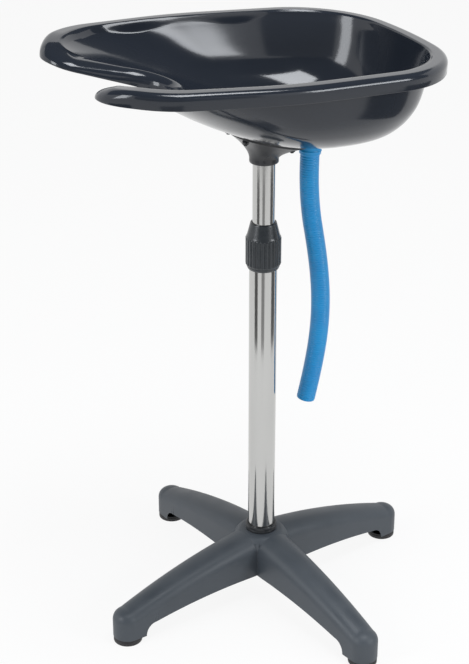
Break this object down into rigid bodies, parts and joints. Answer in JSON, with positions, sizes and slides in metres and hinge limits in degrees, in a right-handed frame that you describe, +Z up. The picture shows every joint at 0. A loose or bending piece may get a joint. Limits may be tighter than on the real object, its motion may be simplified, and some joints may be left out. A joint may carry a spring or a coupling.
{
  "type": "pet bathtub",
  "caption": "Free-standing pet wash basin with a neck notch and drain hose, on a telescoping swivel column with a twist-lock collar and four-leg base.",
  "frame": {"origin": "on the floor, under the centre of the outline of the standing object without its hose", "axes": "+Z up along the column; +X from the basin's neck notch to its drain end; +Y across the basin"},
  "size_m": [0.5128, 0.4974, 0.8239],
  "materials": {
    "base_plastic": "fine satin grain",
    "glide_plastic": "matt",
    "zinc_steel": "zinc plated",
    "ring_plastic": "matt",
    "chrome_tube": "polished chrome",
    "collar_plastic": "semi-gloss",
    "bush_plastic": "natural acetal",
    "bracket_paint": "satin powder coat",
    "basin_gloss": "high gloss",
    "stainless": "satin stainless",
    "gasket_rubber": "matt",
    "drain_plastic": "matt",
    "hose_blue": "soft gloss"
  },
  "bodies": {
    "base": {"base_spider": "base_plastic", "floor_glide_1": "glide_plastic", "floor_glide_2": "glide_plastic", "floor_glide_3": "glide_plastic", "floor_glide_4": "glide_plastic", "glide_stem_1": "zinc_steel", "glide_stem_2": "zinc_steel", "glide_stem_3": "zinc_steel", "glide_stem_4": "zinc_steel", "hub_ring": "ring_plastic", "lower_tube": "chrome_tube", "tube_anchor": "zinc_steel", "column_bolt": "zinc_steel", "column_washer": "zinc_steel", "collar_body": "collar_plastic", "collar_collet": "bush_plastic"},
    "collar": {"collar_nut": "collar_plastic"},
    "guide": {"upper_tube_bush": "bush_plastic"},
    "basin": {"upper_tube": "chrome_tube", "mount_bracket": "bracket_paint", "bracket_screws": "stainless", "basin_shell": "basin_gloss", "drain_strainer": "stainless", "strainer_screw": "stainless", "drain_gasket": "gasket_rubber", "drain_tailpiece": "drain_plastic", "hose_cuff": "hose_blue", "drain_hose": "hose_blue"}
  },
  "joints": [
    {"name": "collar_twist", "type": "hinge", "parent": "base", "child": "collar", "pos_m": [0.0073, 0, 0.53], "axis": [0, 0, 1], "range_deg": [0, 150]},
    {"name": "height_slide", "type": "slide", "parent": "base", "child": "guide", "axis": [0, 0, 1], "range_m": [-0.075, 0.29]},
    {"name": "basin_swivel", "type": "hinge", "parent": "guide", "child": "basin", "pos_m": [0.0073, 0, 0.66], "axis": [0, 0, 1], "continuous": true}
  ]
}
